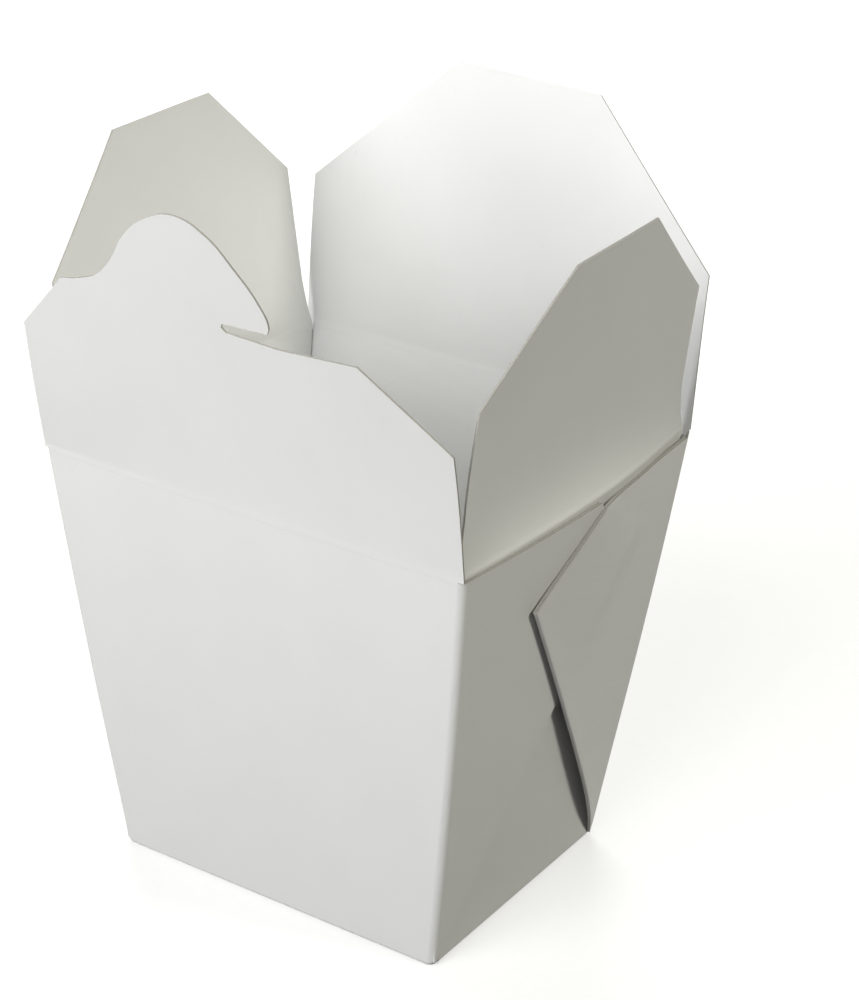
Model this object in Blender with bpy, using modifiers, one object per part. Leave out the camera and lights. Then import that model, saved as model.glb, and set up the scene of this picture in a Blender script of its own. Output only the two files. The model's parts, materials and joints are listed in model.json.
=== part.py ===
"""Paper food pail, open and empty.

One blank of coated board is folded into a tapered tub.  At each corner the board between two
walls is folded in half and laid flat against the side wall as a gusset, the rear one over the
front one.  Above the rim creases stand four flaps: two plain side flaps, a tall back flap and a
front flap with a hooked locking tab.  Each flap turns on its own crease.

Metres, +Z up.  The front wall faces -Y.  The origin is the middle of the underside.
"""
import math

import bmesh
import bpy
from mathutils import Matrix, Vector

MM = 0.001

# The board, and the tub's outer size at the floor and at the rim creases.
BOARD = 0.45 * MM
BASE_X = 83.3 * MM
BASE_Y = 67.3 * MM
RIM_X = 103.4 * MM
RIM_Y = 94.4 * MM
WALL_HEIGHT = 101.0 * MM

# The side walls stand one board inside the gussets, with their creases a little lower.
SIDE_INSET = BOARD
SIDE_CREASE_DROP = 0.6 * MM

# Free space on each side of a crease line, and the chamfer on the lower edge of a flap.
CREASE_GAP = 0.25 * MM
HINGE_CHAMFER = 0.2 * MM

# A gusset: the angle of its fold from upright, its reach along the fold, and the point where
# its cut edge meets the rim.  How far it stands off the wall: at the corner and at the fold.
GUSSET_FOLD_ANGLE = math.radians(32.0)
GUSSET_REACH = 99.0 * MM
GUSSET_RIM_POINT = (1.5 * MM, 98.6 * MM)
GUSSET_CORNER_INSET = 0.2 * MM
GUSSET_TOP = 99.8 * MM
GUSSET_EDGE_LIFT = BOARD
FRONT_FOLD_LIFT = 1.6 * MM
REAR_FOLD_LIFT = 3.0 * MM
GUSSET_ROOT = BOARD / 2

# Flap outlines, half widths and heights above the crease.
END_FLAP_HALF = 50.4 * MM
FRONT_SHOULDER = 30.0 * MM
FRONT_TOP = 44.8 * MM
FRONT_TOP_HALF = 35.0 * MM
BACK_SHOULDER = 34.4 * MM
BACK_TOP = 67.2 * MM
BACK_TOP_HALF = 18.0 * MM
SIDE_FLAP_HALF = 43.2 * MM
SIDE_SHOULDER = 34.6 * MM
RIGHT_TOP = 57.0 * MM
LEFT_TOP = 60.5 * MM
SIDE_TOP_HALF = 16.2 * MM

# The locking tab on the front flap: a leaning dome with a hook over a narrow slit.
TAB_TOP = 68.2 * MM
TAB_HOOK_X = 14.4 * MM
SLIT_END_X = 3.2 * MM
SLIT_MOUTH = 1.7 * MM
SLIT_WIDTH = 0.9 * MM

# How far each flap leans outwards from upright.
FRONT_LEAN = math.radians(15.0)
BACK_LEAN = math.radians(6.6)
RIGHT_LEAN = math.radians(3.5)
LEFT_LEAN = math.radians(6.5)

BOARD_COLOUR = (0.80, 0.81, 0.79, 1.0)
INNER_COLOUR = (0.76, 0.77, 0.75, 1.0)


def clear_scene():
    for obj in list(bpy.data.objects):
        bpy.data.objects.remove(obj, do_unlink=True)


def new_collection(name):
    collection = bpy.data.collections.new(name)
    bpy.context.scene.collection.children.link(collection)
    return collection


def board_material(name, colour):
    """White coated board: pale, smooth and a little glossy."""
    material = bpy.data.materials.new(name)
    material.use_nodes = True
    shader = material.node_tree.nodes["Principled BSDF"]
    shader.inputs["Base Color"].default_value = colour
    shader.inputs["Roughness"].default_value = 0.5
    shader.inputs["Metallic"].default_value = 0.0
    return material


def mesh_object(name, bm, collection, material=None):
    mesh = bpy.data.meshes.new(name)
    bm.to_mesh(mesh)
    bm.free()
    obj = bpy.data.objects.new(name, mesh)
    if material:
        mesh.materials.append(material)
    collection.objects.link(obj)
    return obj


def hide_tool(obj):
    obj.hide_render = True
    obj.display_type = "WIRE"


def half_widths(height):
    """The tub's outer half widths at a height, measured to the outer corners."""
    share = height / WALL_HEIGHT
    half_x = (BASE_X + (RIM_X - BASE_X) * share) / 2
    half_y = (BASE_Y + (RIM_Y - BASE_Y) * share) / 2
    return half_x, half_y


def tub_shell(collection, material):
    """The four leaning walls and the floor, as an open shell of one board's thickness."""
    top = WALL_HEIGHT - CREASE_GAP
    bm = bmesh.new()
    bmesh.ops.create_cube(bm, size=1.0)
    for vert in bm.verts:
        height = top if vert.co.z > 0 else 0.0
        half_x, half_y = half_widths(height)
        vert.co.x = math.copysign(half_x - SIDE_INSET, vert.co.x)
        vert.co.y = math.copysign(half_y, vert.co.y)
        vert.co.z = height
    lid = [face for face in bm.faces if face.normal.z > 0.5]
    bmesh.ops.delete(bm, geom=lid, context="FACES_ONLY")
    tub = mesh_object("tub", bm, collection, material)
    shell = tub.modifiers.new("board", "SOLIDIFY")
    shell.thickness = BOARD
    shell.offset = -1.0
    shell.use_even_offset = True
    shell.use_quality_normals = True
    return tub


def wall_point(along, up, out):
    """A point on the +X side wall: along it, up its slope and out from its outer face."""
    rise = Vector(((RIM_X - BASE_X) / 2, 0.0, WALL_HEIGHT)).normalized()
    outward = Vector((rise.z, 0.0, -rise.x))
    foot = Vector((BASE_X / 2 - SIDE_INSET, 0.0, 0.0))
    return foot + Vector((0.0, along, 0.0)) + rise * up + outward * out


def gusset(name, side, end, fold_lift, collection):
    """A corner gusset as the hull of its board: thin at the corner and lifted at its fold.

    side is +1 or -1 for the side wall, and end is +1 for the rear corner or -1 for the front.
    """
    foot_y = BASE_Y / 2 - GUSSET_CORNER_INSET
    top_y = half_widths(GUSSET_TOP)[1] - GUSSET_CORNER_INSET
    apex_y = foot_y - GUSSET_REACH * math.sin(GUSSET_FOLD_ANGLE)
    apex_up = GUSSET_REACH * math.cos(GUSSET_FOLD_ANGLE)
    outline = [
        (foot_y, GUSSET_CORNER_INSET, GUSSET_EDGE_LIFT),
        (top_y, GUSSET_TOP, GUSSET_EDGE_LIFT),
        (GUSSET_RIM_POINT[0], GUSSET_RIM_POINT[1], fold_lift),
        (apex_y, apex_up, fold_lift),
    ]
    bm = bmesh.new()
    for along, up, lift in outline:
        for out in (-GUSSET_ROOT, lift):
            point = wall_point(end * along, up, out)
            bm.verts.new((side * point.x, point.y, point.z))
    bmesh.ops.convex_hull(bm, input=bm.verts)
    bmesh.ops.recalc_face_normals(bm, faces=bm.faces)
    obj = mesh_object(name, bm, collection)
    hide_tool(obj)


def side_rim_cutter(collection):
    """Takes the tops of the side walls down to their lower creases."""
    bottom = WALL_HEIGHT - SIDE_CREASE_DROP - CREASE_GAP
    notch_y = RIM_Y / 2 - 2.2 * MM
    bm = bmesh.new()
    size = Vector((RIM_X * 1.2, notch_y * 2, WALL_HEIGHT * 0.1))
    bmesh.ops.create_cube(bm, size=1.0, matrix=Matrix.Diagonal((*size, 1.0)))
    bmesh.ops.translate(bm, verts=bm.verts, vec=(0.0, 0.0, bottom + size.z / 2))
    obj = mesh_object("side_rim_cutter", bm, collection)
    hide_tool(obj)
    return obj


def build_tub(parts, cutters, material):
    tub = tub_shell(parts, material)
    gussets = new_collection("gussets")
    for side in (1, -1):
        for end, lift in ((1, REAR_FOLD_LIFT), (-1, FRONT_FOLD_LIFT)):
            name = "gusset_%s_%s" % ("right" if side > 0 else "left", "rear" if end > 0 else "front")
            gusset(name, side, end, lift, gussets)
    fold = tub.modifiers.new("folded gussets", "BOOLEAN")
    fold.operation = "UNION"
    fold.operand_type = "COLLECTION"
    fold.collection = gussets
    fold.solver = "EXACT"
    trim = tub.modifiers.new("side rims", "BOOLEAN")
    trim.operation = "DIFFERENCE"
    trim.object = side_rim_cutter(cutters)
    trim.solver = "EXACT"


def plain_outline(half, shoulder, top_half, top):
    """A flap with upright sides and cut corners, as corner points above its crease."""
    return [
        (-half, CREASE_GAP, "VECTOR"),
        (half, CREASE_GAP, "VECTOR"),
        (half, shoulder, "VECTOR"),
        (top_half, top, "VECTOR"),
        (-top_half, top, "VECTOR"),
        (-half, shoulder, "VECTOR"),
    ]


def front_outline():
    """The front flap: cut corners, and the hooked tab on its top edge."""
    tab = [
        (TAB_HOOK_X + 1.0 * MM, FRONT_TOP, "VECTOR"),
        (SLIT_END_X, FRONT_TOP, "VECTOR"),
        (SLIT_END_X, FRONT_TOP + SLIT_WIDTH, "VECTOR"),
        (TAB_HOOK_X - 0.4 * MM, FRONT_TOP + SLIT_MOUTH, "VECTOR"),
        (TAB_HOOK_X, FRONT_TOP + 3.0 * MM, "AUTO"),
        (TAB_HOOK_X - 3.0 * MM, TAB_TOP - 12.5 * MM, "AUTO"),
        (5.0 * MM, TAB_TOP - 4.0 * MM, "AUTO"),
        (-4.0 * MM, TAB_TOP, "AUTO"),
        (-13.0 * MM, TAB_TOP - 4.0 * MM, "AUTO"),
        (-20.0 * MM, TAB_TOP - 11.5 * MM, "AUTO"),
        (-25.5 * MM, FRONT_TOP + 4.6 * MM, "AUTO"),
        (-31.0 * MM, FRONT_TOP + 1.6 * MM, "AUTO"),
    ]
    corners = plain_outline(END_FLAP_HALF, FRONT_SHOULDER, FRONT_TOP_HALF, FRONT_TOP)
    return corners[:4] + tab + corners[4:]


def board_cut(outline, collection):
    """A flat piece of board with the given outline, as a mesh centred on its mid plane."""
    curve = bpy.data.curves.new("outline", "CURVE")
    curve.dimensions = "2D"
    curve.fill_mode = "BOTH"
    curve.extrude = BOARD / 2
    curve.resolution_u = 4
    spline = curve.splines.new("BEZIER")
    spline.use_cyclic_u = True
    spline.bezier_points.add(len(outline) - 1)
    for point, (across, up, handle) in zip(spline.bezier_points, outline):
        point.co = (across, up, 0.0)
        point.handle_left_type = handle
        point.handle_right_type = handle
    guide = bpy.data.objects.new("outline", curve)
    collection.objects.link(guide)
    bpy.context.view_layer.update()
    evaluated = guide.evaluated_get(bpy.context.evaluated_depsgraph_get())
    mesh = bpy.data.meshes.new_from_object(evaluated)
    bm = bmesh.new()
    bm.from_mesh(mesh)
    bmesh.ops.remove_doubles(bm, verts=bm.verts, dist=0.01 * MM)
    bpy.data.objects.remove(guide, do_unlink=True)
    bpy.data.meshes.remove(mesh)
    return bm


def chamfer_hinge_edge(bm):
    """Thins the lower edge of a flap from both faces, so that it turns clear of the wall."""
    low = CREASE_GAP + 0.01 * MM
    edges = []
    for edge in bm.edges:
        level = all(vert.co.y < low for vert in edge.verts)
        along = abs(edge.verts[0].co.x - edge.verts[1].co.x) > BOARD
        same_face = abs(edge.verts[0].co.z - edge.verts[1].co.z) < BOARD / 2
        if level and along and same_face:
            edges.append(edge)
    bmesh.ops.bevel(bm, geom=edges, offset=HINGE_CHAMFER, segments=1, profile=0.5,
                    affect="EDGES", material=-1)


def build_flap(name, outline, crease, turn, lean, collection, material):
    """A flap with its origin on its crease line; turn is the wall it stands on, about Z."""
    bm = board_cut(outline, collection)
    chamfer_hinge_edge(bm)
    bmesh.ops.recalc_face_normals(bm, faces=bm.faces)
    flap = mesh_object(name, bm, collection, material)
    flap.location = crease
    flap.rotation_euler = (math.pi / 2 + lean, 0.0, turn)


def build_flaps(collection, material):
    mid_board = BOARD / 2
    end_y = RIM_Y / 2 - mid_board
    side_x = RIM_X / 2 - SIDE_INSET - mid_board
    side_z = WALL_HEIGHT - SIDE_CREASE_DROP
    back = plain_outline(END_FLAP_HALF, BACK_SHOULDER, BACK_TOP_HALF, BACK_TOP)
    right = plain_outline(SIDE_FLAP_HALF, SIDE_SHOULDER, SIDE_TOP_HALF, RIGHT_TOP)
    left = plain_outline(SIDE_FLAP_HALF, SIDE_SHOULDER, SIDE_TOP_HALF, LEFT_TOP)
    quarter = math.pi / 2
    build_flap("front_flap", front_outline(), (0.0, -end_y, WALL_HEIGHT), 0.0, FRONT_LEAN,
               collection, material)
    build_flap("right_flap", right, (side_x, 0.0, side_z), quarter, RIGHT_LEAN,
               collection, material)
    build_flap("back_flap", back, (0.0, end_y, WALL_HEIGHT), 2 * quarter, BACK_LEAN,
               collection, material)
    build_flap("left_flap", left, (-side_x, 0.0, side_z), 3 * quarter, LEFT_LEAN,
               collection, material)


def main():
    clear_scene()
    parts = new_collection("paper_pail")
    cutters = new_collection("cutters")
    build_tub(parts, cutters, board_material("coated_board", BOARD_COLOUR))
    build_flaps(parts, board_material("flap_board", INNER_COLOUR))


main()
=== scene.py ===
"""Looks of an open, empty paper food pail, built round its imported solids.

One sheet of coated board makes the whole pail.  The tub is that sheet folded: at each corner
the board turns back on itself as a two-layer gusset that lies against the side wall, the rear
gusset over the front one.  The four closing flaps carry the sheet on above the rim creases.

Metres, +Z up, the front wall faces -Y.  Heights are measured from the underside.
"""

import json
import math

import bmesh
import bpy
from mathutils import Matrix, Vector, noise
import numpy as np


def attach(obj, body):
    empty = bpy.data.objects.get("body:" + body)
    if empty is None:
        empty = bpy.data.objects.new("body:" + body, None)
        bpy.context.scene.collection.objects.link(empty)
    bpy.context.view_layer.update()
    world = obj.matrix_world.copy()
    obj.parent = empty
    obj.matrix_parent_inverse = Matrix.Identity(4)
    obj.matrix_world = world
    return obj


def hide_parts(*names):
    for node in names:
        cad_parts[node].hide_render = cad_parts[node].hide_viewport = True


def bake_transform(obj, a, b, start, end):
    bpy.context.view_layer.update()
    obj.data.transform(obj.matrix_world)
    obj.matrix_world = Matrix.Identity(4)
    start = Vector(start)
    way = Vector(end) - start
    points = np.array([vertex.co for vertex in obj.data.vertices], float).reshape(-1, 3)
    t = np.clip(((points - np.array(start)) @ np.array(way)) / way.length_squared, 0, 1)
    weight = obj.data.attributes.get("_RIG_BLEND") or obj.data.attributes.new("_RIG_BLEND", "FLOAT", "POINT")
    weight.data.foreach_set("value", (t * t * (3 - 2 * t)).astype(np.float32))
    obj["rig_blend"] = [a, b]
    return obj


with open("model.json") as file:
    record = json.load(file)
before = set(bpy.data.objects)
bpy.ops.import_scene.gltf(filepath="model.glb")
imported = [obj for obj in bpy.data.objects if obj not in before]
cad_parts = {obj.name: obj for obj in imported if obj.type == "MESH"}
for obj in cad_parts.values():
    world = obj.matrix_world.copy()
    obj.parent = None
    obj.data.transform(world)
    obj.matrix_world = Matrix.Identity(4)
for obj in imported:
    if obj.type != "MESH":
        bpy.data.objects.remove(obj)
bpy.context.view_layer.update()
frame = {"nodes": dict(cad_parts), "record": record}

MM = 0.001

# The board: its thickness, the pitch of layers pressed together, how high above the foot that
# pitch is reached, and the mid-plane radius of a corner.
BOARD = 0.45 * MM
LAYER = 0.49 * MM
LAYER_FADE = 6.0 * MM
CORNER_RADIUS = 1.6 * MM
BOARD_MAP = "board"         # the map of the flat sheet, which the board's patterns follow
MAP_UNIT = 100.0            # millimetres of the sheet to one unit of that map

# The tub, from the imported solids: the rim creases and the outer half sizes.
JOINTS = frame["record"]["behaviour"]["joints"]
CREASE = {joint["child"]: Vector(joint["pos_m"]) for joint in JOINTS}
RIM_Z = CREASE["front_flap"].z
SIDE_RIM_Z = CREASE["right_flap"].z
RIM_Y = BOARD / 2 - CREASE["front_flap"].y
RIM_X = CREASE["right_flap"].x + 1.5 * BOARD + 0.5 * MM
FOOT = [vert.co for vert in frame["nodes"]["tub"].data.vertices if vert.co.z < 0.1 * MM]
FOOT_X = max(co.x for co in FOOT) + BOARD
FOOT_Y = max(co.y for co in FOOT)
WALL_START = 1.0 * MM
FLOOR_ROUND = WALL_START - BOARD / 2 - 0.05 * MM

# How far the walls belly out at the rim, and how fast that grows with height.
END_BELLY = 0.7 * MM
SIDE_BELLY = 2.0 * MM
BELLY_RISE = 1.3
CORNER_BOW = 0.5 * MM       # how far the upright corners bow out half way up
REAR_PINCH = 1.5 * MM       # how far the rim pulls the rear end of a side wall in
REAR_FOLLOW = 0.4           # how much of that the rear gusset follows
PINCH_START = 0.1           # where it starts, as a share of the way to the corner
PINCH_RISE = 3.0            # how fast it grows with height
WAVER = 0.10                # the share of a belly that comes and goes along a wall
WAVER_SIZE = 38.0 * MM

# The gussets: the slope of their folds, how they spring open, and their cut top edges as
# (distance from the middle of the wall, height) at the apex, the elbow and the corner.
FOLD_RUN = 0.648
FOLD_START = 1.0 * MM
FOLD_START_FADE = 8.0 * MM
TUCK_GAP = 0.1 * MM         # between an end wall and the folds that are tucked in beside it
FRONT_SPRING = 0.15 * MM
REAR_SPRING = 0.05 * MM
REAR_LIFT = 2.7 * MM        # how far the rear fold stands off the wall
REAR_LIFT_FADE = 9.0 * MM   # how high above the foot it takes to get there
DRAPE_START = 0.5 * MM      # the rear gusset comes down past the front one's edge, from here
DRAPE_END = 6.0 * MM        # to here
REST_SOFTNESS = 0.5 * MM
GUSSET_APEX = (-20.1 * MM, 83.0 * MM)
FRONT_TOP = [(-3.0 * MM, 99.4 * MM), (46.9 * MM, 100.0 * MM)]
REAR_TOP = [(4.6 * MM, 98.3 * MM), (46.9 * MM, 98.9 * MM)]

# Creases: the seam between tub and flap pieces lies a little below each crease line.
# A flap's foot stands between the tub's corners; an end flap's edges then pass over their tops.
SEAM_DROP = 1.5 * MM
CORNER_DROP = 1.0 * MM
TAB_DROP = 0.87 * MM
END_FOOT = 50.8 * MM        # half the foot of the front and back flaps
SIDE_FOOT = 45.8 * MM       # half the foot of the side flaps
CREASE_ROUND = 0.9 * MM
CREASE_SPREAD = 0.7 * MM    # how far from its line a crease looks crushed
SCORE_DEPTH = 0.015 * MM
SCORE_WIDTH = 0.45 * MM
BLEND_RISE = 1.0 * MM       # a flap's sheet bends over this much on either side of its crease

# The flaps' slow waver, and how far above its crease it is all there.
FLAP_WAVER = 0.35 * MM
FLAP_WAVER_RISE = 25.0 * MM
TWIST_REACH = 50.0 * MM     # the distance along a crease that twists are given for

# Colours: clear, clouded, crushed at a crease, and flecked board; pulp at a cut edge, darkened
# beyond the pulp's own colour as painted shade along the cut edges; the studio floor's grain.
OUTSIDE_TONES = [(0.675, 0.675, 0.664), (0.660, 0.660, 0.649),
                 (0.679, 0.679, 0.667), (0.635, 0.630, 0.610)]
# The inside tones are lighter than the outside ones, partly for the inside coating and partly as painted
# light lifting the pail's inside faces.
INSIDE_TONES_WITH_PAINTED_LIGHT = [(0.760, 0.762, 0.757), (0.743, 0.745, 0.739),
                (0.766, 0.767, 0.761), (0.700, 0.700, 0.690)]
# The pulp tones are darker than cut board is: painted shade for the gaps along the cut edges.
PULP_AND_SHADE_TONES = [(0.300, 0.290, 0.265), (0.380, 0.370, 0.340)]
FLOOR_TONES = [(0.445, 0.445, 0.440), (0.455, 0.455, 0.450)]
FLOOR_GLOW = 0.53           # the floor is lit from below, like a light table
FLOOR_GRAIN = 400.0         # specks to the metre
FLOOR_RADIUS = 3.0

# Relief in the finish: the film's slow waves, the fibres, crow's feet at a crease, cut pulp.
WAVE_DEPTH = 0.06 * MM
FIBRE_DEPTH = 0.012 * MM
WRINKLE_DEPTH = 0.05 * MM
PULP_DEPTH = 0.04 * MM
PULP_GRAIN = 0.35 * MM

# Mesh steps.
RINGS = 38
END_COLUMNS = 18
SIDE_COLUMNS = 34
GUSSET_COLUMNS = 22
TURN_STEPS = 6
FLOOR_ROUND_STEPS = 5
FLAP_STEP = 3.0 * MM
ROW_STEP = 0.8 * FLAP_STEP
CREASE_ROWS = [k * 0.25 * MM for k in range(-5, 6)] + [1.8 * MM, 2.5 * MM, 3.5 * MM, 5.0 * MM]
RISE_STEPS = 24
FULL_CREASE = math.radians(12)      # a bend this sharp from column to column is all creased
SHARP_ANGLE = math.radians(50)


def smooth_step(low, high, value):
    """0 below the low value and 1 above the high one, with a soft start and finish."""
    share = min(max((value - low) / (high - low), 0.0), 1.0)
    return share * share * (3.0 - 2.0 * share)


def smooth_max(a, b, softness):
    """The greater of two lengths, rounded where they cross."""
    return (a + b + math.sqrt((a - b) ** 2 + softness ** 2)) / 2


# ---- The walls and gussets as places in a level section ------------------------------------

def half_widths(z):
    """The tub's outer half widths at a height, to its outer corners."""
    share = z / RIM_Z
    half_x = FOOT_X + (RIM_X - FOOT_X) * share + CORNER_BOW * math.sin(math.pi * share)
    return half_x, FOOT_Y + (RIM_Y - FOOT_Y) * share


def belly(size, along, half, z):
    """How far a wall bellies out at a place along it."""
    share = min(abs(along) / half, 1.0)
    uneven = 1.0 + WAVER * noise.noise(Vector((along / WAVER_SIZE, z / WAVER_SIZE, size / MM)))
    return size * uneven * (1.0 - share * share) * (z / RIM_Z) ** BELLY_RISE


def pitch(z):
    """The pitch of the folded layers: pressed into one another at the foot."""
    return LAYER * (1.0 - math.exp(-z / LAYER_FADE))


def end_flat(z):
    """How far out the mid plane of a flat front or back wall would stand."""
    return half_widths(z)[1] - BOARD / 2


def side_flat(z):
    """How far out the mid plane of a flat side wall would stand, inside its gussets."""
    return half_widths(z)[0] - BOARD / 2 - 2 * pitch(z)


def end_wall(x, z):
    """How far out the mid plane of the front or back wall stands; the same either side."""
    return end_flat(z) + belly(END_BELLY, abs(x), half_widths(z)[0], z)


def pinch(y, z):
    """How far in the rim pulls a side wall towards the rear."""
    half_y = half_widths(z)[1]
    return REAR_PINCH * smooth_step(PINCH_START, 1.0, y / half_y) * (z / RIM_Z) ** PINCH_RISE


def side_wall(y, z):
    """How far out the mid plane of a side wall stands."""
    return side_flat(z) + belly(SIDE_BELLY, y, half_widths(z)[1], z) - pinch(y, z)


def left_side_wall(along, z):
    """The same wall, met from the left flap, whose own sense along the crease is turned."""
    return side_wall(-along, z)


def fold_reach(z):
    """How far a gusset's fold has come from its corner at a height."""
    start = FOLD_START * math.exp(-z / FOLD_START_FADE)
    return half_widths(z)[1] - FOOT_Y + start + FOLD_RUN * z


def gusset_share(distance, z):
    """0 at the corner and 1 at the fold, for a distance from the corner."""
    return min(max(distance / fold_reach(z), 0.0), 1.0)


def front_inner(y, z):
    """The front gusset's inner layer, flat on the side wall."""
    return side_wall(y, z) + pitch(z)


def front_outer(y, z):
    """The front gusset's outer layer, which springs open a little towards its fold."""
    share = gusset_share(y + half_widths(z)[1], z)
    return side_wall(y, z) + 2 * pitch(z) + FRONT_SPRING * share


def front_cover(y, z):
    """1 where the front gusset lies under the rear one, falling to 0 past its edge."""
    half_y = half_widths(z)[1]
    apex_y, apex_z = -GUSSET_APEX[0], GUSSET_APEX[1]
    elbow_y, elbow_z = -FRONT_TOP[0][0], FRONT_TOP[0][1]
    edge = fold_reach(z) - half_y
    if z > apex_z:
        edge = apex_y + (elbow_y - apex_y) * (z - apex_z) / (elbow_z - apex_z)
    return 1.0 - smooth_step(edge + DRAPE_START, edge + DRAPE_END, y)


def rear_outer(y, z):
    """The rear gusset's outer layer: it springs off the wall and drapes over what is under it."""
    half_x, half_y = half_widths(z)
    share = gusset_share(half_y - y, z)
    lift = REAR_LIFT * (1.0 - math.exp(-z / REAR_LIFT_FADE))
    free = half_x - BOARD / 2 + lift * share - REAR_FOLLOW * pinch(y, z)
    under = (2 * pitch(z) + FRONT_SPRING) * front_cover(y, z)
    resting = side_wall(y, z) + 2 * pitch(z) + REAR_SPRING * share + under
    return smooth_max(free, resting, REST_SOFTNESS * share)


def rear_inner(y, z):
    """The rear gusset's inner layer, which keeps close behind the outer one."""
    share = gusset_share(half_widths(z)[1] - y, z)
    return rear_outer(y, z) - pitch(z) - REAR_SPRING * share


# ---- One level section of the folded sheet -------------------------------------------------

def close_ends(count):
    """Shares from 0 to 1, closer together near both ends."""
    return [(1.0 - math.cos(math.pi * k / count)) / 2 for k in range(count + 1)]


def close_finish(count):
    """Shares from 0 to 1, closer together near 1."""
    return [math.sin(math.pi / 2 * k / count) for k in range(count + 1)]


def run(layer, start, finish, count, z):
    """Points along one layer of the side, from start to finish along Y."""
    places = [start + (finish - start) * share for share in close_ends(count)]
    return [(layer(y, z), y) for y in places]


def turn(start, finish, bulge):
    """The points between two run ends at the same Y: a half turn bulging along Y."""
    middle = (start[0] + finish[0]) / 2
    radius = abs(finish[0] - start[0]) / 2
    points = []
    for k in range(1, TURN_STEPS):
        angle = math.pi * k / TURN_STEPS
        x = middle + (start[0] - middle) * math.cos(angle)
        points.append((x, start[1] + bulge * radius * math.sin(angle)))
    return points


def corner(x, y, end):
    """The points of a square corner, from the end wall round to the side; end is -1 or 1."""
    points = []
    for k in range(1, TURN_STEPS):
        angle = math.pi / 2 * k / TURN_STEPS
        along = x - CORNER_RADIUS * (1.0 - math.sin(angle))
        points.append((along, end * (y - CORNER_RADIUS * (1.0 - math.cos(angle)))))
    return points


def half_section(z):
    """The folded sheet from the middle of the front wall round the +X side to the back.

    Returns a list of parts, each a name and its points (x, y).
    """
    half_x, half_y = half_widths(z)
    inside = half_y - BOARD - TUCK_GAP - BOARD / 2
    tuck = inside - pitch(z) / 2
    rear_tuck = inside - (rear_inner(tuck, z) - side_wall(tuck, z)) / 2
    fold = fold_reach(z) - half_y - BOARD / 2
    front_fold = fold - (pitch(z) + FRONT_SPRING) / 2
    rear_fold = -fold + (pitch(z) + REAR_SPRING) / 2
    corner_y = end_wall(half_x - CORNER_RADIUS, z)
    bend_y = corner_y - CORNER_RADIUS

    outer_front = run(front_outer, -bend_y, front_fold, GUSSET_COLUMNS, z)
    inner_front = run(front_inner, front_fold, -tuck, GUSSET_COLUMNS, z)
    wall = run(side_wall, -tuck, rear_tuck, SIDE_COLUMNS, z)
    inner_rear = run(rear_inner, rear_tuck, rear_fold, GUSSET_COLUMNS, z)
    outer_rear = run(rear_outer, rear_fold, bend_y, GUSSET_COLUMNS, z)

    front_x = outer_front[0][0]
    back_x = outer_rear[-1][0]
    reach = [(front_x - CORNER_RADIUS) * share for share in close_finish(END_COLUMNS)]
    front = [(x, -end_wall(x, z)) for x in reach]
    reach = [(back_x - CORNER_RADIUS) * share for share in close_finish(END_COLUMNS)]
    back = [(x, end_wall(x, z)) for x in reversed(reach)]

    gusset_front = outer_front + turn(outer_front[-1], inner_front[0], 1) + inner_front
    gusset_front += turn(inner_front[-1], wall[0], -1)
    gusset_rear = turn(wall[-1], inner_rear[0], 1) + inner_rear
    gusset_rear += turn(inner_rear[-1], outer_rear[0], -1) + outer_rear
    return [
        ("end", front),
        ("front_corner", corner(front_x, corner_y, -1)),
        ("front_gusset", gusset_front),
        ("side", wall),
        ("rear_gusset", gusset_rear),
        ("rear_corner", list(reversed(corner(back_x, corner_y, 1)))),
        ("end", back),
    ]


# The parts of the sheet; a face between two of them belongs to the earlier one.
PARTS = ["front_corner", "rear_corner", "front_gusset", "rear_gusset", "side", "end"]


# ---- Meshes --------------------------------------------------------------------------------

def whole_geometry(bm):
    return bm.verts[:] + bm.edges[:] + bm.faces[:]


def each_once(items):
    """The items in the order they come, without repeats."""
    return list(dict.fromkeys(items))


def cut(bm, faces, point, normal):
    """Cuts faces along a plane."""
    edges = each_once(edge for face in faces for edge in face.edges)
    verts = each_once(vert for face in faces for vert in face.verts)
    bmesh.ops.bisect_plane(bm, geom=verts + edges + list(faces), dist=0.001 * MM,
                           plane_co=point, plane_no=normal)


def faces_of(bm, name):
    """The faces of one part of the sheet."""
    part = bm.faces.layers.int["part"]
    return [face for face in bm.faces if face[part] == PARTS.index(name)]


def trim(bm, name, point, normal):
    """Takes away the side of one part that a plane's normal points to."""
    cut(bm, faces_of(bm, name), point, normal)
    gone = [face for face in faces_of(bm, name)
            if (face.calc_center_median() - point).dot(normal) > 0]
    bmesh.ops.delete(bm, geom=gone, context="FACES")


def sheet_half(bm):
    """The +X half of the folded sheet: a grid, each row of it laid along one level section."""
    heights = [WALL_START + (RIM_Z - WALL_START) * k / RINGS for k in range(RINGS + 1)]
    sections = [half_section(z) for z in heights]
    points = [[point for _, part in section for point in part] for section in sections]
    names = [name for name, part in sections[0] for _ in part]
    columns = len(names)
    crease = bm.verts.layers.float.new("crease")
    along = bm.verts.layers.float.new("along")
    part = bm.faces.layers.int.new("part")
    bmesh.ops.create_grid(bm, x_segments=columns - 1, y_segments=RINGS, size=0.5)
    for face in bm.faces:
        middle = face.calc_center_median()
        column = int((middle.x + 0.5) * (columns - 1))
        face[part] = min(PARTS.index(names[column]), PARTS.index(names[column + 1]))
    for vert in bm.verts:
        column = round((vert.co.x + 0.5) * (columns - 1))
        ring = round((vert.co.y + 0.5) * RINGS)
        row = points[ring]
        x, y = row[column]
        before, after = row[max(column - 1, 0)], row[min(column + 1, columns - 1)]
        first = Vector((x - before[0], y - before[1]))
        second = Vector((after[0] - x, after[1] - y))
        if first.length > 0 and second.length > 0:
            vert[crease] = min(first.angle(second) / FULL_CREASE, 1.0)
        vert[along] = sum(math.dist(row[k], row[k + 1]) for k in range(column))
        vert.co = (x, y, heights[ring])


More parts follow.
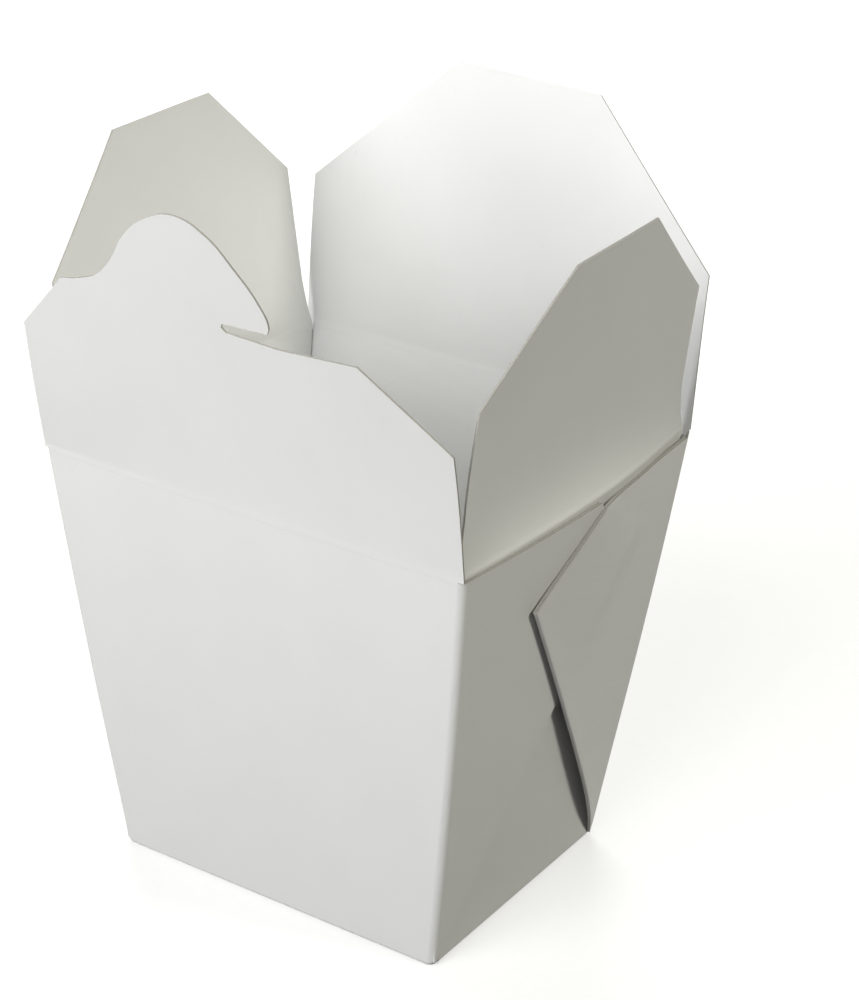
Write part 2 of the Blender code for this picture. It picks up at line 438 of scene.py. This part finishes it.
def trim_gussets(bm):
    """Cuts the gussets' top edges: a slope from the fold's apex, then along under the crease."""
    for name, end, top in (("front_gusset", -1, FRONT_TOP), ("rear_gusset", 1, REAR_TOP)):
        places = [Vector((0.0, end * y, z)) for y, z in [GUSSET_APEX] + top]
        for low, high in zip(places, places[1:]):
            edge = high - low
            normal = Vector((0.0, -edge.z, edge.y)) * end
            trim(bm, name, low, normal)


def notch_wall(bm, name, seam_z, half, axis):
    """Takes out the top of a wall between the corners, where its flap piece starts."""
    up = Vector((0.0, 0.0, 1.0))
    cut(bm, faces_of(bm, name), up * seam_z, up)
    above = [face for face in faces_of(bm, name) if face.calc_center_median().z > seam_z]
    for side in (-1, 1):
        cut(bm, above, axis * half * side, axis)
        above = [face for face in faces_of(bm, name) if face.calc_center_median().z > seam_z]
    gone = [face for face in above if abs(face.calc_center_median().dot(axis)) < half]
    bmesh.ops.delete(bm, geom=gone, context="FACES")


def trim_corners(bm):
    """The tub's corners stop a little below the creases."""
    up = Vector((0.0, 0.0, 1.0))
    for name in ("front_corner", "rear_corner", "end"):
        trim(bm, name, up * (RIM_Z - CORNER_DROP), up)
    trim(bm, "side", up * (SIDE_RIM_Z - CORNER_DROP), up)


def floor_panel(bm):
    """The floor, turned up all round with a small radius to meet the walls."""
    half_x = side_wall(FOOT_Y, WALL_START)
    half_y = end_wall(FOOT_X, WALL_START)
    made = bmesh.ops.create_cube(bm, size=2.0)
    for vert in made["verts"]:
        vert.co = (math.copysign(half_x, vert.co.x), math.copysign(half_y, vert.co.y),
                   WALL_START if vert.co.z > 0 else BOARD / 2)
    faces = each_once(face for vert in made["verts"] for face in vert.link_faces)
    lid = [face for face in faces if min(v.co.z for v in face.verts) > BOARD]
    bmesh.ops.delete(bm, geom=lid, context="FACES_ONLY")
    edges = each_once(edge for vert in made["verts"] for edge in vert.link_edges)
    uprights = [edge for edge in edges
                if min(v.co.z for v in edge.verts) < BOARD < max(v.co.z for v in edge.verts)]
    bmesh.ops.bevel(bm, geom=uprights, offset=CORNER_RADIUS, segments=TURN_STEPS, profile=0.5,
                    affect="EDGES", material=-1)
    foot_edges = [edge for edge in bm.edges if all(v.co.z < BOARD for v in edge.verts)]
    bmesh.ops.bevel(bm, geom=foot_edges, offset=FLOOR_ROUND, segments=FLOOR_ROUND_STEPS,
                    profile=0.5, affect="EDGES", material=-1)


def write_map(bm, across, up):
    """The board's own map, from places along and up the flat sheet."""
    board_map = bm.loops.layers.uv.new(BOARD_MAP)
    unit = MAP_UNIT * MM
    for face in bm.faces:
        for loop in face.loops:
            loop[board_map].uv = (loop.vert[across] / unit, up(loop.vert) / unit)


def make_tub(materials):
    """The tub: half the folded sheet, cut at its rim, mirrored and closed by its floor."""
    bm = bmesh.new()
    sheet_half(bm)
    trim_gussets(bm)
    notch_wall(bm, "end", RIM_Z - SEAM_DROP, END_FOOT, Vector((1, 0, 0)))
    notch_wall(bm, "side", SIDE_RIM_Z - SEAM_DROP, SIDE_FOOT, Vector((0, 1, 0)))
    trim_corners(bm)
    bmesh.ops.mirror(bm, geom=whole_geometry(bm), axis="X", merge_dist=0.01 * MM)
    floor_panel(bm)
    bmesh.ops.recalc_face_normals(bm, faces=bm.faces)
    write_map(bm, bm.verts.layers.float["along"], lambda vert: vert.co.z)
    return board_object("folded_tub", bm, materials)


def board_object(name, bm, materials):
    """Gives a mid-plane sheet its thickness; cut edges take the last material."""
    mesh = bpy.data.meshes.new(name)
    bm.to_mesh(mesh)
    bm.free()
    for material in materials:
        mesh.materials.append(material)
    piece = bpy.data.objects.new(name, mesh)
    bpy.context.scene.collection.objects.link(piece)
    board = piece.modifiers.new("board", "SOLIDIFY")
    board.thickness = BOARD
    board.offset = 0.0
    board.use_even_offset = True
    board.material_offset = 1
    board.material_offset_rim = 2
    bpy.context.view_layer.update()
    evaluated = piece.evaluated_get(bpy.context.evaluated_depsgraph_get())
    solid = bpy.data.meshes.new_from_object(evaluated)
    piece.modifiers.clear()
    piece.data = solid
    bpy.data.meshes.remove(mesh)
    solid.name = name
    solid.shade_smooth()
    solid.set_sharp_from_angle(angle=SHARP_ANGLE)
    return piece


# ---- Flaps ---------------------------------------------------------------------------------

# The front flap's tongue, from its slit on the right over the dome to its left foot (mm).
TONGUE = [
    (15.4, 42.5, "VECTOR"),
    (2.9, 42.9, "VECTOR"),
    (1.9, 43.9, "VECTOR"),
    (2.4, 44.9, "VECTOR"),
    (13.2, 45.5, "VECTOR"),
    (13.8, 47.0, "AUTO"),
    (12.5, 51.6, "AUTO"),
    (7.7, 58.9, "AUTO"),
    (2.6, 64.6, "AUTO"),
    (-4.2, 67.3, "AUTO"),
    (-12.2, 64.6, "AUTO"),
    (-18.8, 59.0, "AUTO"),
    (-23.4, 52.4, "AUTO"),
    (-28.0, 47.8, "AUTO"),
    (-34.0, 45.2, "VECTOR"),
]

# Each flap: its wall, as it stands and as it would stand flat, and the wall's turn about Z
# (degrees); its lean at the crease (degrees) and its curl (degrees a millimetre up), each with
# its twist, which is how much it changes along the crease; how far its root tucks in, and how
# soon; half its foot; and its outline from the seam up (mm).
SEAM = SEAM_DROP / MM
FLAPS = {
    "front_flap": {
        "wall": end_wall, "flat": end_flat, "turn": 0, "lean": 12.6, "twist": -1.7,
        "curl": 0.073, "curl_twist": 0.093, "tuck": 0.0, "fade": 15.0 * MM, "foot": END_FOOT,
        "corners": [(52.1, -SEAM), (52.3, 28.7), (33.2, 43.8)] + TONGUE
        + [(-37.8, 44.4), (-50.5, 30.6), (-52.1, -SEAM)],
    },
    "right_flap": {
        "wall": side_wall, "flat": side_flat, "turn": 90, "lean": 3.2, "twist": 1.4,
        "curl": 0.094, "curl_twist": -0.063, "tuck": 2.3 * MM, "fade": 5.0 * MM,
        "foot": SIDE_FOOT,
        "corners": [(45.8, -SEAM), (45.8, 0.3), (44.3, 4.0), (43.3, 11.0), (43.1, 34.6),
                    (16.2, 57.6), (-15.2, 56.3), (-43.5, 34.2), (-43.9, 11.0), (-44.9, 4.0),
                    (-45.8, 0.3), (-45.8, -SEAM)],
    },
    "back_flap": {
        "wall": end_wall, "flat": end_flat, "turn": 180, "lean": -1.8, "twist": -1.5,
        "curl": 0.194, "curl_twist": 0.003, "tuck": -0.87 * MM, "fade": 12.0 * MM,
        "foot": END_FOOT,
        "corners": [(51.5, -SEAM), (51.0, 35.6), (16.2, 68.0), (-19.1, 67.0), (-51.0, 34.2),
                    (-51.1, -SEAM)],
    },
    "left_flap": {
        "wall": left_side_wall, "flat": side_flat, "turn": 270, "lean": 6.6, "twist": -3.1,
        "curl": 0.048, "curl_twist": 0.023, "tuck": 1.4 * MM, "fade": 5.0 * MM,
        "foot": SIDE_FOOT,
        "corners": [(45.8, -SEAM), (45.8, 0.3), (44.3, 4.0), (43.3, 11.0), (43.0, 35.0),
                    (18.2, 61.2), (-17.2, 61.3), (-43.4, 38.1), (-43.8, 11.0), (-44.8, 4.0),
                    (-45.8, 0.3), (-45.8, -SEAM)],
    },
}


def slope_at(flap, along, up):
    """How far a flap leans out from upright at a place on it, in radians."""
    share = along / TWIST_REACH
    curl = flap["curl"] + flap["curl_twist"] * share
    return math.radians(flap["lean"] + flap["twist"] * share + curl * up / MM)


def flap_rise(flap, along, up):
    """How far out and up a flap has come at a distance from its crease."""
    out = rise = 0.0
    for k in range(RISE_STEPS):
        angle = slope_at(flap, along, up * (k + 0.5) / RISE_STEPS)
        out += math.sin(angle) * up / RISE_STEPS
        rise += math.cos(angle) * up / RISE_STEPS
    return out, rise


def sheet_point(name, along, up):
    """A mid-plane point of a flap's sheet: on the wall below the crease, on the flap above."""
    flap = FLAPS[name]
    crease_z = CREASE[name].z
    wall_at = flap["wall"]
    drop = 5 * MM
    wall_slope = math.atan((wall_at(0, crease_z) - wall_at(0, crease_z - drop)) / drop)
    wall_z = crease_z + up * math.cos(wall_slope)
    on_wall = Vector((wall_at(along, wall_z), wall_z))
    crease_out = wall_at(along, crease_z)
    swell = crease_out - flap["flat"](crease_z)
    out, rise = flap_rise(flap, along, up)
    out -= (swell + flap["tuck"]) * (1.0 - math.exp(-max(up, 0.0) / flap["fade"]))
    waver = noise.noise(Vector((along / WAVER_SIZE, up / WAVER_SIZE, flap["turn"])))
    out += FLAP_WAVER * waver * smooth_step(0.0, FLAP_WAVER_RISE, up)
    on_flap = Vector((crease_out + out, crease_z + rise))
    place = on_wall.lerp(on_flap, smooth_step(-CREASE_ROUND, CREASE_ROUND, up))
    place.x -= SCORE_DEPTH * math.exp(-((up / SCORE_WIDTH) ** 2))
    turn_angle = math.radians(flap["turn"])
    c, s = round(math.cos(turn_angle)), round(math.sin(turn_angle))
    return Vector((c * along + s * place.x, s * along - c * place.x, place.y))


def flat_blank(name):
    """The flap's flat outline with its strip of wall, filled, as a bmesh in X and Y."""
    points = []
    for point in FLAPS[name]["corners"]:
        handle = point[2] if len(point) > 2 else "VECTOR"
        points.append((point[0] * MM, point[1] * MM, handle))
    curve = bpy.data.curves.new(name, "CURVE")
    curve.dimensions = "2D"
    curve.fill_mode = "BOTH"
    curve.resolution_u = 6
    spline = curve.splines.new("BEZIER")
    spline.use_cyclic_u = True
    spline.bezier_points.add(len(points) - 1)
    for bezier, (across, up, handle) in zip(spline.bezier_points, points):
        bezier.co = (across, up, 0.0)
        bezier.handle_left_type = handle
        bezier.handle_right_type = handle
    guide = bpy.data.objects.new(name + "_outline", curve)
    bpy.context.scene.collection.objects.link(guide)
    bpy.context.view_layer.update()
    evaluated = guide.evaluated_get(bpy.context.evaluated_depsgraph_get())
    mesh = bpy.data.meshes.new_from_object(evaluated)
    bm = bmesh.new()
    bm.from_mesh(mesh)
    bpy.data.objects.remove(guide, do_unlink=True)
    bpy.data.meshes.remove(mesh)
    bmesh.ops.remove_doubles(bm, verts=bm.verts, dist=0.01 * MM)
    bmesh.ops.dissolve_limit(bm, angle_limit=math.radians(0.5), verts=bm.verts, edges=bm.edges)
    return bm


def cut_rows(bm, highest):
    """Rows across the blank: close together at the crease, wider up the flap."""
    rows = list(CREASE_ROWS)
    while rows[-1] < highest:
        rows.append(rows[-1] + ROW_STEP)
    for up in rows:
        cut(bm, bm.faces[:], (0, up, 0), (0, 1, 0))


def free_corners(bm, foot):
    """Takes away the strip of wall beside the foot, where the tub's own corners stand."""
    for place, normal in (((foot, 0, 0), (1, 0, 0)), ((-foot, 0, 0), (1, 0, 0)),
                          ((0, -TAB_DROP, 0), (0, 1, 0))):
        cut(bm, bm.faces[:], place, normal)
    middles = [(face, face.calc_center_median()) for face in bm.faces]
    gone = [face for face, middle in middles if abs(middle.x) > foot and middle.y < -TAB_DROP]
    bmesh.ops.delete(bm, geom=gone, context="FACES")


def make_flap(name, materials):
    """A closing flap: its flat blank cut into rows and columns, then bent to its place."""
    flap = FLAPS[name]
    bm = flat_blank(name)
    cut_rows(bm, max(point[1] for point in flap["corners"]) * MM)
    columns = math.ceil(2 * flap["foot"] / FLAP_STEP)
    for k in range(1, columns):
        cut(bm, bm.faces[:], (flap["foot"] * (2 * k / columns - 1), 0, 0), (1, 0, 0))
    free_corners(bm, flap["foot"])
    crease = bm.verts.layers.float.new("crease")
    along = bm.verts.layers.float.new("along")
    up = bm.verts.layers.float.new("up")
    for vert in bm.verts:
        vert[along], vert[up] = vert.co.x, vert.co.y
        vert[crease] = math.exp(-((vert.co.y / CREASE_SPREAD) ** 2))
        vert.co = sheet_point(name, vert.co.x, vert.co.y)
    bmesh.ops.recalc_face_normals(bm, faces=bm.faces)
    outward = Vector((0, 0, 0))
    for face in bm.faces:
        outward += face.normal * face.calc_area()
    if outward.dot(CREASE[name] - Vector((0, 0, RIM_Z))) < 0:
        bmesh.ops.reverse_faces(bm, faces=bm.faces)
    write_map(bm, along, lambda vert: vert[up])
    piece = board_object(name.replace("flap", "closing_flap"), bm, materials)
    rise = Vector((0, 0, BLEND_RISE))
    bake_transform(piece, "tub", name, start=CREASE[name] - rise, end=CREASE[name] + rise)
    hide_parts(name)
    return piece


# ---- Materials -----------------------------------------------------------------------------

def shader_group(name, inputs, outputs):
    """An empty node group with its named sockets; returns it with its two end nodes."""
    group = bpy.data.node_groups.new(name, "ShaderNodeTree")
    for socket, value in inputs.items():
        made = group.interface.new_socket(name=socket, in_out="INPUT",
                                          socket_type="NodeSocketFloat")
        made.default_value = value
    for socket in outputs:
        group.interface.new_socket(name=socket, in_out="OUTPUT", socket_type="NodeSocketFloat")
    return group, group.nodes.new("NodeGroupInput"), group.nodes.new("NodeGroupOutput")


def board_place(tree, across, up):
    """Places on the flat board, stretched so that one unit is across by up millimetres."""
    place = tree.nodes.new("ShaderNodeUVMap")
    place.uv_map = BOARD_MAP
    mapping = tree.nodes.new("ShaderNodeMapping")
    mapping.inputs["Scale"].default_value = (MAP_UNIT / across, MAP_UNIT / up, 1.0)
    tree.links.new(place.outputs["UV"], mapping.inputs["Vector"])
    return mapping.outputs["Vector"]


def noise_on(tree, vector, detail, rough):
    """Noise over places that are already stretched to its size."""
    texture = tree.nodes.new("ShaderNodeTexNoise")
    texture.inputs["Scale"].default_value = 1.0
    texture.inputs["Detail"].default_value = detail
    texture.inputs["Roughness"].default_value = rough
    tree.links.new(vector, texture.inputs["Vector"])
    return texture.outputs["Fac"]


def sum_of(tree, first, second, share=1.0):
    """first + second * share."""
    node = tree.nodes.new("ShaderNodeMath")
    node.operation = "MULTIPLY_ADD"
    for socket, value in zip(node.inputs, (second, share, first)):
        if isinstance(value, float):
            socket.default_value = value
        else:
            tree.links.new(value, socket)
    return node.outputs["Value"]


def spread(tree, value, low, high, to_low, to_high):
    """Maps a value's range to another one, clamped."""
    node = tree.nodes.new("ShaderNodeMapRange")
    ranges = (("From Min", low), ("From Max", high), ("To Min", to_low), ("To Max", to_high))
    for name, amount in ranges:
        if isinstance(amount, float):
            node.inputs[name].default_value = amount
        else:
            tree.links.new(amount, node.inputs[name])
    tree.links.new(value, node.inputs["Value"])
    return node.outputs["Result"]


def blend_colour(tree, share, first, second):
    """A mix of two colours; each is a colour or another node's output."""
    node = tree.nodes.new("ShaderNodeMix")
    node.data_type = "RGBA"
    tree.links.new(share, node.inputs["Factor"])
    for socket, colour in zip(("A", "B"), (first, second)):
        place = next(s for s in node.inputs if s.name == socket and s.type == "RGBA")
        if isinstance(colour, tuple):
            place.default_value = (*colour, 1.0)
        else:
            tree.links.new(colour, place)
    return next(s for s in node.outputs if s.type == "RGBA")


def make_formation():
    """How board varies: soft clouds in its pulp, fine fibres that run up the sheet, and flecks."""
    group, _, finish = shader_group("Board_Formation", {}, ["Cloud", "Fibre", "Fleck"])
    cloud = noise_on(group, board_place(group, 16.0, 24.0), 4.0, 0.55)
    group.links.new(spread(group, cloud, 0.32, 0.68, 0.0, 1.0), finish.inputs["Cloud"])
    fibre = noise_on(group, board_place(group, 0.22, 0.9), 3.0, 0.6)
    group.links.new(fibre, finish.inputs["Fibre"])
    fleck = noise_on(group, board_place(group, 0.8, 1.6), 2.0, 0.5)
    group.links.new(spread(group, fleck, 0.70, 0.78, 0.0, 1.0), finish.inputs["Fleck"])
    return group


def make_crushing():
    """Where the board was creased or folded: a mask, and fine crow's feet beside the line."""
    group, start, finish = shader_group("Crease_Crushing", {"Reach": 0.8}, ["Mask", "Wrinkle"])
    crease = group.nodes.new("ShaderNodeAttribute")
    crease.attribute_name = "crease"
    uneven = noise_on(group, board_place(group, 2.5, 2.5), 3.0, 0.6)
    worn = sum_of(group, uneven, crease.outputs["Fac"], start.outputs["Reach"])
    mask = spread(group, worn, 0.55, 1.35, 0.0, 1.0)
    group.links.new(mask, finish.inputs["Mask"])
    feet = noise_on(group, board_place(group, 0.6, 3.0), 2.0, 0.5)
    wrinkle = group.nodes.new("ShaderNodeMath")
    wrinkle.operation = "MULTIPLY"
    group.links.new(feet, wrinkle.inputs[0])
    group.links.new(mask, wrinkle.inputs[1])
    group.links.new(wrinkle.outputs["Value"], finish.inputs["Wrinkle"])
    return group


def place_group(tree, group):
    node = tree.nodes.new("ShaderNodeGroup")
    node.node_tree = group
    return node


def bump(tree, height, depth, under=None):
    """Relief of a given depth, on top of the relief under it."""
    node = tree.nodes.new("ShaderNodeBump")
    node.inputs["Distance"].default_value = depth
    node.inputs["Strength"].default_value = 1.0
    tree.links.new(height, node.inputs["Height"])
    if under is not None:
        tree.links.new(under, node.inputs["Normal"])
    return node.outputs["Normal"]


def board_finish(name, groups, tones, gloss, coat):
    """One face of the coated board.

    tones: its clear colour, its clouded colour, the colour at a crushed crease and of a fleck;
    gloss: the least and most roughness; coat: the film's weight, 0 for none.
    """
    formation, crushing = groups
    material = bpy.data.materials.new(name)
    material.use_nodes = True
    tree = material.node_tree
    shader = tree.nodes["Principled BSDF"]
    form = place_group(tree, formation)
    crush = place_group(tree, crushing)
    colour = blend_colour(tree, form.outputs["Cloud"], tones[0], tones[1])
    colour = blend_colour(tree, crush.outputs["Mask"], colour, tones[2])
    colour = blend_colour(tree, form.outputs["Fleck"], colour, tones[3])
    tree.links.new(colour, shader.inputs["Base Color"])
    rough = spread(tree, form.outputs["Fibre"], 0.3, 0.7, gloss[0], gloss[1])
    tree.links.new(sum_of(tree, rough, crush.outputs["Mask"], 0.12), shader.inputs["Roughness"])
    shader.inputs["Coat Weight"].default_value = coat
    shader.inputs["Coat Roughness"].default_value = 0.3
    shader.inputs["Specular IOR Level"].default_value = 0.35
    waves = noise_on(tree, board_place(tree, 7.0, 11.0), 2.0, 0.45)
    normal = bump(tree, waves, WAVE_DEPTH)
    normal = bump(tree, form.outputs["Fibre"], FIBRE_DEPTH, normal)
    normal = bump(tree, crush.outputs["Wrinkle"], WRINKLE_DEPTH, normal)
    tree.links.new(normal, shader.inputs["Normal"])
    return material


def board_core():
    """The cut edge: pulp in pressed layers, rougher, darkened past its own tone as painted shade."""
    material = bpy.data.materials.new("board_core")
    material.use_nodes = True
    tree = material.node_tree
    shader = tree.nodes["Principled BSDF"]
    place = tree.nodes.new("ShaderNodeTexCoord")
    texture = tree.nodes.new("ShaderNodeTexNoise")
    texture.inputs["Scale"].default_value = 1 / PULP_GRAIN
    texture.inputs["Detail"].default_value = 4.0
    tree.links.new(place.outputs["Object"], texture.inputs["Vector"])
    pulp = spread(tree, texture.outputs["Fac"], 0.3, 0.7, 0.0, 1.0)
    tree.links.new(blend_colour(tree, pulp, *PULP_AND_SHADE_TONES), shader.inputs["Base Color"])
    tree.links.new(spread(tree, texture.outputs["Fac"], 0.3, 0.7, 0.75, 0.95),
                   shader.inputs["Roughness"])
    tree.links.new(bump(tree, texture.outputs["Fac"], PULP_DEPTH), shader.inputs["Normal"])
    return material


def board_materials():
    """The board's outside, its inside and its cut edge."""
    groups = (make_formation(), make_crushing())
    outside = board_finish("coated_outside", groups, OUTSIDE_TONES, (0.42, 0.56), 0.0)
    # The inside finish is a lighter copy of the outside one: partly its own coating, partly painted light.
    inside = board_finish("coated_inside_painted_light", groups, INSIDE_TONES_WITH_PAINTED_LIGHT, (0.46, 0.60), 0.15)
    return [outside, inside, board_core()]


def floor_material():
    """Matt studio paper with a faint grain."""
    material = bpy.data.materials.new("pale_floor")
    material.use_nodes = True
    tree = material.node_tree
    shader = tree.nodes["Principled BSDF"]
    place = tree.nodes.new("ShaderNodeTexCoord")
    texture = tree.nodes.new("ShaderNodeTexNoise")
    texture.inputs["Scale"].default_value = FLOOR_GRAIN
    tree.links.new(place.outputs["Object"], texture.inputs["Vector"])
    share = spread(tree, texture.outputs["Fac"], 0.3, 0.7, 0.0, 1.0)
    tree.links.new(blend_colour(tree, share, *FLOOR_TONES), shader.inputs["Base Color"])
    shader.inputs["Roughness"].default_value = 0.9
    shader.inputs["Emission Color"].default_value = (1.0, 1.0, 1.0, 1.0)
    shader.inputs["Emission Strength"].default_value = FLOOR_GLOW
    return material


# ---- Setting -------------------------------------------------------------------------------

# The camera: its angles in degrees, its lens and sensor in millimetres.
CAMERA_AZIMUTH = 31.92
CAMERA_ELEVATION = 24.99
CAMERA_ROLL = 2.79
CAMERA_DISTANCE = 507.2 * MM
CAMERA_TARGET = Vector((37.57, -37.57, 110.24)) * MM
CAMERA_LENS = 93.9
CAMERA_SENSOR = 36.0


def aim(obj, direction, roll=0.0):
    """Turns a camera or light to look along a direction."""
    turn_to = direction.to_track_quat("-Z", "Y").to_matrix()
    tilt = math.radians(roll)
    across = turn_to.col[0] * math.cos(tilt) + turn_to.col[1] * math.sin(tilt)
    upward = turn_to.col[1] * math.cos(tilt) - turn_to.col[0] * math.sin(tilt)
    turn_to.col[0], turn_to.col[1] = across, upward
    obj.rotation_euler = turn_to.to_euler()


def make_camera():
    """The scene's camera, looking a little down at the pail's front right corner."""
    azimuth, elevation = math.radians(CAMERA_AZIMUTH), math.radians(CAMERA_ELEVATION)
    back = Vector((math.sin(azimuth) * math.cos(elevation),
                   -math.cos(azimuth) * math.cos(elevation), math.sin(elevation)))
    data = bpy.data.cameras.new("camera")
    data.lens = CAMERA_LENS
    data.sensor_width = CAMERA_SENSOR
    data.clip_start = 0.01
    camera = bpy.data.objects.new("camera", data)
    camera.location = CAMERA_TARGET + back * CAMERA_DISTANCE
    aim(camera, -back, CAMERA_ROLL)
    bpy.context.scene.collection.objects.link(camera)
    bpy.context.scene.camera = camera


# Soft boxes: where each stands and its size (metres), its power (watts) and its colour.
SOFT_BOXES = {
    "front_high": ((0.22, -0.80, 1.10), 0.35, 4.4, (1.0, 1.0, 0.99)),
    "front_mid": ((-0.05, -0.80, 0.60), 0.35, 2.9, (1.0, 1.0, 0.99)),
    "front": ((-0.20, -0.60, 0.35), 0.30, 2.0, (1.0, 1.0, 1.0)),
    "front_low": ((-0.10, -1.00, 0.10), 0.40, 4.2, (1.0, 1.0, 1.0)),
    "rear_left": ((-0.55, 0.65, 0.42), 0.60, 8.0, (1.0, 1.0, 0.98)),
    "right": ((1.46, 0.27, 1.12), 0.38, 16.7, (1.0, 0.985, 0.865)),
}
LIGHTS_AIM = Vector((0, 0, 0.09))
WORLD_STRENGTH = 0.03       # the faint light that comes from all round
BACKDROP_STRENGTH = 0.80    # how bright the studio looks past the edge of the floor


def soft_box(name, place, size, power, colour):
    """A square area light aimed at the pail."""
    data = bpy.data.lights.new(name, "AREA")
    data.shape = "SQUARE"
    data.size = size
    data.energy = power
    data.color = colour
    light = bpy.data.objects.new(name, data)
    light.location = place
    aim(light, LIGHTS_AIM - Vector(place))
    bpy.context.scene.collection.objects.link(light)


def make_setting():
    """The studio: its floor, the light all round and the soft boxes."""
    floor_mesh = bmesh.new()
    bmesh.ops.create_circle(floor_mesh, cap_ends=True, segments=96, radius=FLOOR_RADIUS)
    mesh = bpy.data.meshes.new("studio_floor")
    floor_mesh.to_mesh(mesh)
    floor_mesh.free()
    mesh.materials.append(floor_material())
    floor = bpy.data.objects.new("studio_floor", mesh)
    bpy.context.scene.collection.objects.link(floor)
    floor.visible_diffuse = False       # its glow is seen, but doesn't light the board
    world = bpy.data.worlds.new("studio")
    world.use_nodes = True
    backdrop = world.node_tree.nodes["Background"]
    backdrop.inputs["Color"].default_value = (1, 1, 1, 1)
    path = world.node_tree.nodes.new("ShaderNodeLightPath")
    strength = spread(world.node_tree, path.outputs["Is Camera Ray"], 0.0, 1.0,
                      WORLD_STRENGTH, BACKDROP_STRENGTH)
    world.node_tree.links.new(strength, backdrop.inputs["Strength"])
    bpy.context.scene.world = world
    bpy.context.scene.view_settings.view_transform = "Standard"
    for name, settings in SOFT_BOXES.items():
        soft_box(name, *settings)


def main():
    materials = board_materials()
    tub = make_tub(materials)
    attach(tub, "tub")
    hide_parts("tub")
    for name in FLAPS:
        make_flap(name, materials)
    make_camera()
    make_setting()


main()
